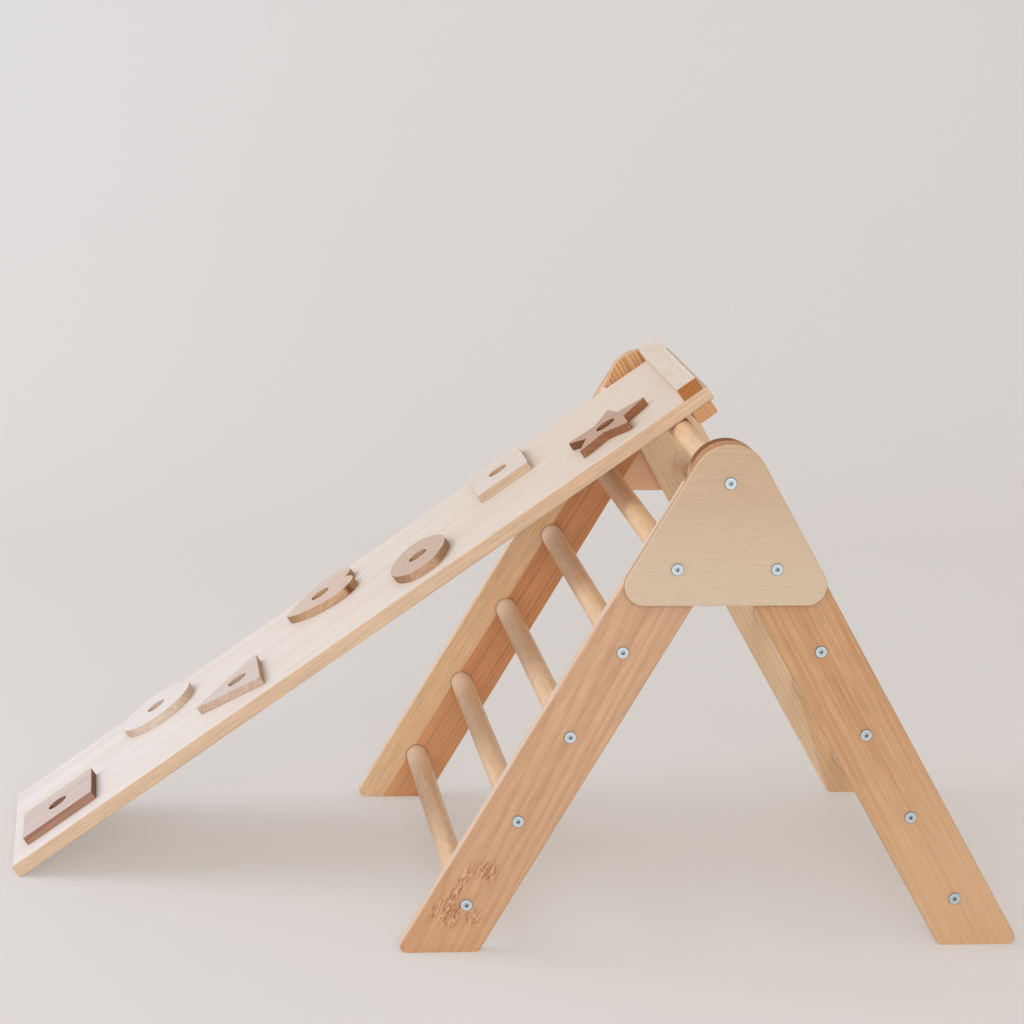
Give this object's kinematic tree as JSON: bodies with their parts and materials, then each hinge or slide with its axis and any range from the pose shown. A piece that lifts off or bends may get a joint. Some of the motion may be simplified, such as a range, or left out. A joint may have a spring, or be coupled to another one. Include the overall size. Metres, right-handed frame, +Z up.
{
  "type": "folding climbing triangle with ramp",
  "caption": "Wooden folding climbing triangle for small children, two ladders on a shared top rung, with a board ramp that hooks over the rung and carries flat shaped holds.",
  "frame": {"origin": "on the floor, in the middle of the overall length and of the overall width", "axes": "+X from the ramp's low end to the feet of the right ladder, +Y along the rungs away from the viewer of the picture, +Z up from the floor"},
  "size_m": [1.2774, 0.727, 0.6772],
  "materials": {
    "rail_wood": "clear satin varnish on planed softwood",
    "rung_wood": "clear satin varnish on turned hardwood rod",
    "plate_plywood": "sanded birch plywood",
    "ramp_wood": "clear satin varnish on a pale glued board",
    "cleat_wood": "clear satin varnish on softwood batten",
    "hold_dark_wood": "dark oiled hardwood",
    "hold_mid_wood": "mid-brown oiled hardwood",
    "hold_pale_wood": "pale sanded hardwood",
    "zinc_steel": "bright zinc plate",
    "insert_brass": "turned brass"
  },
  "bodies": {
    "right_ladder": {"right_rail_near": "rail_wood", "right_rail_far": "rail_wood", "top_rung": "rung_wood", "right_rung_1": "rung_wood", "right_rung_2": "rung_wood", "right_rung_3": "rung_wood", "right_rung_4": "rung_wood", "right_rung_5": "rung_wood", "side_plate_near": "plate_plywood", "side_plate_far": "plate_plywood", "right_rail_bolts": "zinc_steel", "plate_bolts": "zinc_steel", "right_rung_inserts": "insert_brass"},
    "left_ladder": {"left_rail_near": "rail_wood", "left_rail_far": "rail_wood", "left_rung_1": "rung_wood", "left_rung_2": "rung_wood", "left_rung_3": "rung_wood", "left_rung_4": "rung_wood", "left_rung_5": "rung_wood", "left_rail_bolts": "zinc_steel", "pivot_bolts": "zinc_steel", "left_rung_inserts": "insert_brass"},
    "ramp": {"ramp_board": "ramp_wood", "hook_cleat": "cleat_wood", "top_cleat": "cleat_wood", "cleat_brads": "zinc_steel", "hook_screws": "zinc_steel", "hold_square": "hold_dark_wood", "hold_circle": "hold_pale_wood", "hold_triangle": "hold_pale_wood", "hold_heart": "hold_mid_wood", "hold_oval": "hold_mid_wood", "hold_rectangle": "hold_pale_wood", "hold_star": "hold_dark_wood", "hold_dowels": "rung_wood"}
  },
  "joints": [
    {"name": "left_ladder_fold", "type": "hinge", "parent": "right_ladder", "child": "left_ladder", "pos_m": [0.18134, 0, 0.49501], "axis": [0, -1, 0], "range_deg": [0, 60]},
    {"name": "ramp_lift", "type": "hinge", "parent": "right_ladder", "child": "ramp", "pos_m": [0.24384, 0, 0.60327], "axis": [0, 1, 0], "range_deg": [0, 35]}
  ]
}
